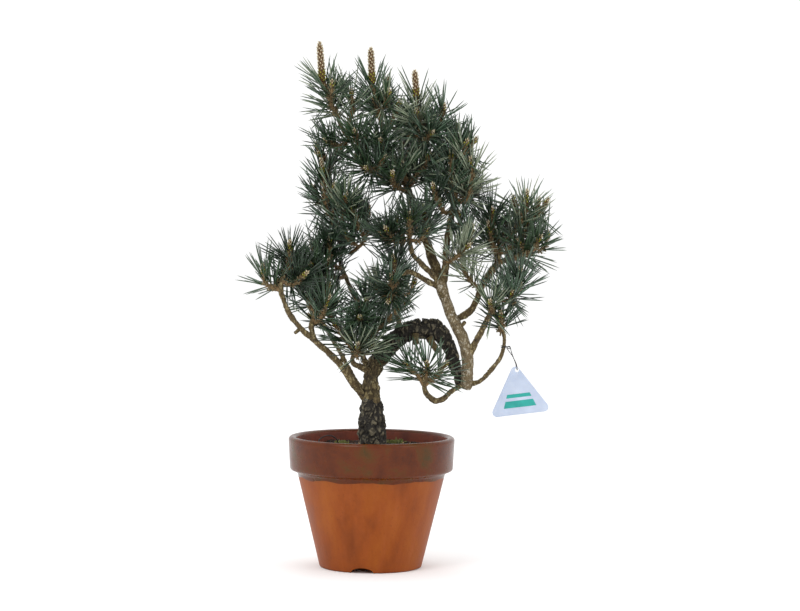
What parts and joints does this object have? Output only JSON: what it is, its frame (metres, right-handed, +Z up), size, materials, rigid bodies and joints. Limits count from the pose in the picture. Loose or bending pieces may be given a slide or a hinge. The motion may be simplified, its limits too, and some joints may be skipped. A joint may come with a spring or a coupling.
{
  "type": "potted kotobuki japanese black pine",
  "caption": "Trained Japanese black pine of the Kotobuki kind with an arched trunk, open boughs and short dark needles, growing in a clay nursery pot with a glazed rim band.",
  "frame": {"origin": "centre of the pot's flat underside", "axes": "+Z up along the pot's axis, +X to the right of the tree's front, -Y towards the viewer of the front"},
  "size_m": [0.4118, 0.235, 0.6657],
  "materials": {
    "terracotta": "smooth orange-brown fired clay, semi-matte, with a glossy red-brown glazed band round the rim",
    "soil": "dark moist gritty potting soil with a few pale chips",
    "dark_bark": "rough black plated bark with olive lichen",
    "pale_bark": "grey-tan flecked bark",
    "young_bark": "olive-tan scaly young bark with dark speckles",
    "needles": "stiff dark blue-green pine needles with a satin sheen",
    "bud": "pale tan scaly spring buds, yellow-green at the base",
    "tag_plastic": "white plastic plate, slightly translucent",
    "string": "thin dark twine"
  },
  "bodies": {
    "root": {"arch_fall": "dark_bark", "arch_rise": "dark_bark", "bough_back_low": "young_bark", "bough_back_mid": "young_bark", "bough_back_right": "young_bark", "bough_back_top": "young_bark", "bough_fork_left_high": "young_bark", "bough_fork_left_low": "young_bark", "bough_fork_right": "young_bark", "bough_leader": "young_bark", "bough_left_back": "young_bark", "bough_left_spur": "young_bark", "bough_left_sweep": "young_bark", "bough_low_middle": "young_bark", "bough_low_sling": "young_bark", "bough_mid_left": "young_bark", "bough_right_low": "young_bark", "bough_right_mid": "young_bark", "bough_right_upper": "young_bark", "bough_top_left": "young_bark", "bough_top_right": "young_bark", "candle_left": "bud", "candle_middle": "bud", "candle_right": "bud", "foliage_back_low": "needles", "foliage_back_right": "needles", "foliage_centre": "needles", "foliage_centre_back": "needles", "foliage_centre_low": "needles", "foliage_crown_back": "needles", "foliage_crown_centre": "needles", "foliage_crown_left": "needles", "foliage_crown_right": "needles", "foliage_left_back": "needles", "foliage_left_inner": "needles", "foliage_left_mid": "needles", "foliage_left_tip": "needles", "foliage_left_upper": "needles", "foliage_low_middle": "needles", "foliage_low_right": "needles", "foliage_mid_left": "needles", "foliage_mid_left_tip": "needles", "foliage_right_inner": "needles", "foliage_right_low": "needles", "foliage_right_mid": "needles", "foliage_right_outer": "needles", "foliage_right_outer_top": "needles", "foliage_right_upper": "needles", "foliage_top_left": "needles", "foliage_top_middle": "needles", "foliage_top_right": "needles", "foliage_upper_right": "needles", "pot": "terracotta", "soil": "soil", "tag": "tag_plastic", "tag_string": "string", "trunk": "dark_bark", "upper_trunk": "pale_bark"}
  },
  "joints": []
}
